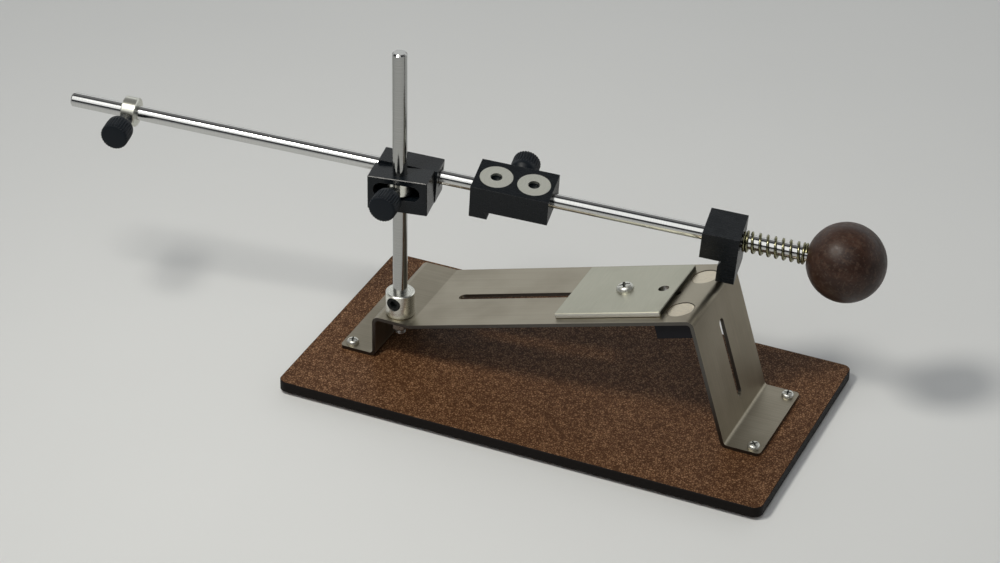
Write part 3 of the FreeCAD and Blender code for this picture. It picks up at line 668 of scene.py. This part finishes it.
def add_screw_head(name, base, axis, turn, radius, height, body, materials, replaces=()):
    """A pan head with a cross recess; base is the middle of its seat, materials are steel and the recess's
    painted shade.
    """
    first, second = axes_about(axis, Vector((1, 0, 0)))
    points = []
    sunk = []
    for ring in range(SCREW_RINGS):
        share = 1 - ring / SCREW_RINGS
        r = radius * sin(share * pi / 2) ** RING_SPREAD
        dome = height * max(0.0, 1 - (r / radius) ** DOME_POWER) ** 0.5
        for k in range(SCREW_AROUND):
            angle = 2 * pi * k / SCREW_AROUND
            x, y = r * cos(angle - turn), r * sin(angle - turn)
            depth = cross_depth(x, y, RECESS_REACH * radius)
            sunk.append(depth)
            up = dome - RECESS_DEPTH * height * depth
            points.append(base + axis * up + first * (r * cos(angle)) + second * (r * sin(angle)))
    faces = ring_faces(SCREW_RINGS, SCREW_AROUND, closed_end=True)
    head = piece(name, points, faces, materials[0], body, replaces)
    # faces deep in the cross recess take the dark grey of painted shade
    head.data.materials.append(materials[1])
    for face in head.data.polygons:
        if max(sunk[v] for v in face.vertices) > PAINTED_SHADE_DEPTH:
            face.material_index = 1


# ---------------------------------------------------------------- coil spring

SPRING_RADIUS = 6.0 * MM
WIRE_RADIUS = 0.74 * MM
SPRING_PITCH = 4.15 * MM
CLOSED_TURNS = 1.6
CLOSED_RISE = 2.1  # of a closed turn, in wire radii
WIRE_SIDES = 12
STEPS_PER_TURN = 36


def tube_span(node, axis, radius):
    """Middle and length of a straight tube, from its node's box."""
    low, high = corners(node)
    size = (high - low).x
    length = (size - 2 * radius * sqrt(1 - axis.x ** 2)) / abs(axis.x)
    return (low + high) / 2, length


def add_spring(material):
    """A round-wire spring with closed end turns, built at the fixed length of the node it stands for; in
    the real guide the sprung clamp squashes it.
    """
    middle, length = tube_span("clamp_spring", ROD_AXIS, SPRING_RADIUS)
    start = middle - ROD_AXIS * (length / 2)
    first, second = axes_about(ROD_AXIS)
    coil = SPRING_RADIUS - WIRE_RADIUS
    closed = CLOSED_TURNS * CLOSED_RISE * WIRE_RADIUS
    run = length - 2 * WIRE_RADIUS - 2 * closed
    open_turns = run / SPRING_PITCH
    turns = open_turns + 2 * CLOSED_TURNS
    count = int(turns * STEPS_PER_TURN)
    spots = []
    for k in range(count + 1):
        turn = turns * k / count
        if turn < CLOSED_TURNS:
            rise = closed * turn / CLOSED_TURNS
        elif turn > turns - CLOSED_TURNS:
            rise = closed + run + closed * (turn - turns + CLOSED_TURNS) / CLOSED_TURNS
        else:
            rise = closed + run * (turn - CLOSED_TURNS) / open_turns
        angle = 2 * pi * turn
        out = first * cos(angle) + second * sin(angle)
        spots.append((start + ROD_AXIS * (WIRE_RADIUS + rise) + out * coil, out))
    points = []
    for spot, out in spots:
        for k in range(WIRE_SIDES):
            angle = 2 * pi * k / WIRE_SIDES
            points.append(spot + (out * cos(angle) + ROD_AXIS * sin(angle)) * WIRE_RADIUS)
    faces = ring_faces(len(spots), WIRE_SIDES, closed_start=True, closed_end=True)
    spring = piece("coil_spring", points, faces, material, "rod", ("clamp_spring",))
    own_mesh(spring)


# ---------------------------------------------------------------- the object

def dress_frame():
    """Gives the CAD nodes that stay visible their materials; the blocks differ by the shine of their ends,
    a painted reflection on the swivel block and rod carrier and painted shade on the two clamps.
    """
    # end shine per block: strong on the swivel block and rod carrier as a painted reflection, almost none
    # on the clamps as painted shade
    blocks = {"swivel_block": 0.27, "rod_carrier": 0.27, "fixed_clamp": 0.02, "sprung_clamp": 0.03}
    for node, painted_end_shine in blocks.items():
        dress(node, anodised_material("black_" + node, ROD_AXIS, painted_end_shine))
    plain = {
        "base_board": board_material(),
        "rubber_feet": moulded_material("rubber", (0.02, 0.02, 0.02), roughness=0.7),
        "bent_frame": sheet_material(),
        "table_plate": plate_material(),
        "magnet_bar": moulded_material("black_bar", (0.006, 0.006, 0.009), roughness=0.5, specular=0.2),
        "disc_magnets": metal_material("nickel", (0.62, 0.555, 0.44), roughness=0.34, grain=500.0),
        "ball_handle": ball_material(),
        "rod_bush": moulded_material("bush", (0.02, 0.02, 0.022), roughness=0.4),
        "thrust_washer": moulded_material("thrust", (0.03, 0.03, 0.03), roughness=0.5),
        "pivot_screw": metal_material("black_oxide", (0.05, 0.05, 0.055), roughness=0.38),
        "post_set_screw": moulded_material(
            "black_set_screw", (0.006, 0.008, 0.008), roughness=0.4, specular=0.3
        ),
        "ball_insert": metal_material("brass", (0.72, 0.56, 0.28), roughness=0.3),
        "table_washer": metal_material("zinc_washer", (0.60, 0.60, 0.58), roughness=0.32),
        "table_nut": metal_material("zinc_nut", (0.60, 0.60, 0.58), roughness=0.30),
        "boss_washer": metal_material("zinc_boss_washer", (0.58, 0.58, 0.56), roughness=0.34),
        "boss_nut": metal_material("zinc_boss_nut", (0.42, 0.42, 0.40), roughness=0.32),
    }
    for node, material in plain.items():
        dress(node, material)
    # the post and the guide rod are the same ground steel; the post's lower grey is painted shade
    dress("post", rod_material("ground_post", UP, shade=0.405))
    dress("guide_rod", rod_material("ground_rod", ROD_AXIS, shade=0.58))
    low, high = (0.70, 0.70, 0.64), (0.80, 0.80, 0.74)
    dress("post_boss", turned_material("turned_boss", middle_of("post"), UP, low, high, roughness=0.28))
    middle = middle_of("post_collar")
    dress("post_collar", turned_material("turned_post_collar", middle, UP, low, high, roughness=0.26))
    low, high = (0.56, 0.56, 0.50), (0.64, 0.64, 0.58)
    middle = middle_of("stop_collar")
    steel = turned_material("turned_stop_collar", middle, ROD_AXIS, low, high, roughness=0.30)
    dress("stop_collar", steel)
    # the clamp washers' steel is near white, brighter than the other washers: a painted highlight
    low, high = (0.92, 0.93, 0.82), (1.0, 1.0, 0.90)
    middle = middle_of("clamp_washers")
    axis = washer_axis()
    steel = turned_material("washer_steel_painted_highlight", middle, axis, low, high, roughness=0.36, scale=1800.0)
    dress("clamp_washers", steel)
    thread = (0.62, 0.62, 0.60)
    studs = {
        "post_knob_stud": "post_knob_turn",
        "stop_knob_stud": "stop_knob_turn",
        "clamp_knob_stud": "jaw_knob_turn",
    }
    for node, joint in studs.items():
        dress(node, threaded_material(node + "_thread", joint_line(joint)[1], thread, roughness=0.3))
    dress("boss_stud", threaded_material("boss_thread", UP, thread, roughness=0.3, pitch=1.0 * MM))


def washer_axis():
    """The washers face square to the rod and to the clamp's thumb screw."""
    return ROD_AXIS.cross(joint_line("jaw_knob_turn")[1]).normalized()


def add_details():
    """The thumb screw heads and the pan-head screws."""
    knob = moulded_material("black_knob", (0.0046, 0.0072, 0.0108), roughness=0.44, specular=0.18)
    boss = metal_material("knob_boss", (0.70, 0.70, 0.68), roughness=0.25)
    add_knob("post_knob", "post_knob_turn", "post_thumb_screw", knob, KNOB_START, boss)
    add_knob("stop_knob", "stop_knob_turn", "stop_thumb_screw", knob, KNOB_START)
    add_knob("clamp_knob", "jaw_knob_turn", "jaw_thumb_screw", knob, CLAMP_KNOB_START)
    zinc = metal_material("zinc", (0.72, 0.72, 0.67), roughness=0.40)
    # dark grey for the faces deep in the cross recess: painted shade
    recess = moulded_material("screw_recess_painted_shade", (0.060, 0.062, 0.056), roughness=0.5, specular=0.3)
    add_frame_screws((zinc, recess))
    add_table_screw((zinc, recess))


def add_frame_screws(materials):
    """The four screws of the feet, at the corners of their node's box; the first stands for the node."""
    low, high = corners("frame_screws")
    radius, height = FRAME_SCREW_RADIUS, FRAME_SCREW_HEIGHT
    level = high.z - height + FRAME_SCREW_LIFT
    turns = iter(FRAME_SCREW_TURNS)
    replaced = ("frame_screws",)
    for x in (low.x + radius, high.x - radius):
        for y in (low.y + radius, high.y - radius):
            name = "pan_head_%s_%s" % ("left" if x < 0 else "right", "front" if y < 0 else "back")
            seat = Vector((x, y, level))
            turn = radians(next(turns))
            add_screw_head(name, seat, UP, turn, radius, height, "base", materials, replaced)
            replaced = ()


def add_table_screw(materials):
    """The blade table's screw: its head sits on the plate, on the line from nut to washer."""
    deck = joint_line("table_slide")[1]
    if deck.x < 0:
        deck = -deck
    out = deck.cross(Vector((0, 1, 0)))
    out = out if out.z > 0 else -out
    low, high = corners("table_plate")
    size = high - low
    thickness = (size.z * deck.x - size.x * deck.z) / (deck.x ** 2 - deck.z ** 2)
    washer = middle_of("table_washer")
    lift = ((low + high) / 2 - washer).dot(out) + thickness / 2
    seat = washer + out * (lift + TABLE_SCREW_LIFT)
    turn = radians(TABLE_SCREW_TURN)
    radius, height = TABLE_SCREW_RADIUS, TABLE_SCREW_HEIGHT
    replaced = ("table_screw",)
    add_screw_head("table_screw_head", seat, out, turn, radius, height, "table", materials, replaced)


add_camera()
add_world()
add_floor()
add_key_light()
dress_frame()
add_details()
add_spring(metal_material("yellow_zinc", (0.26, 0.250, 0.150), roughness=0.22))
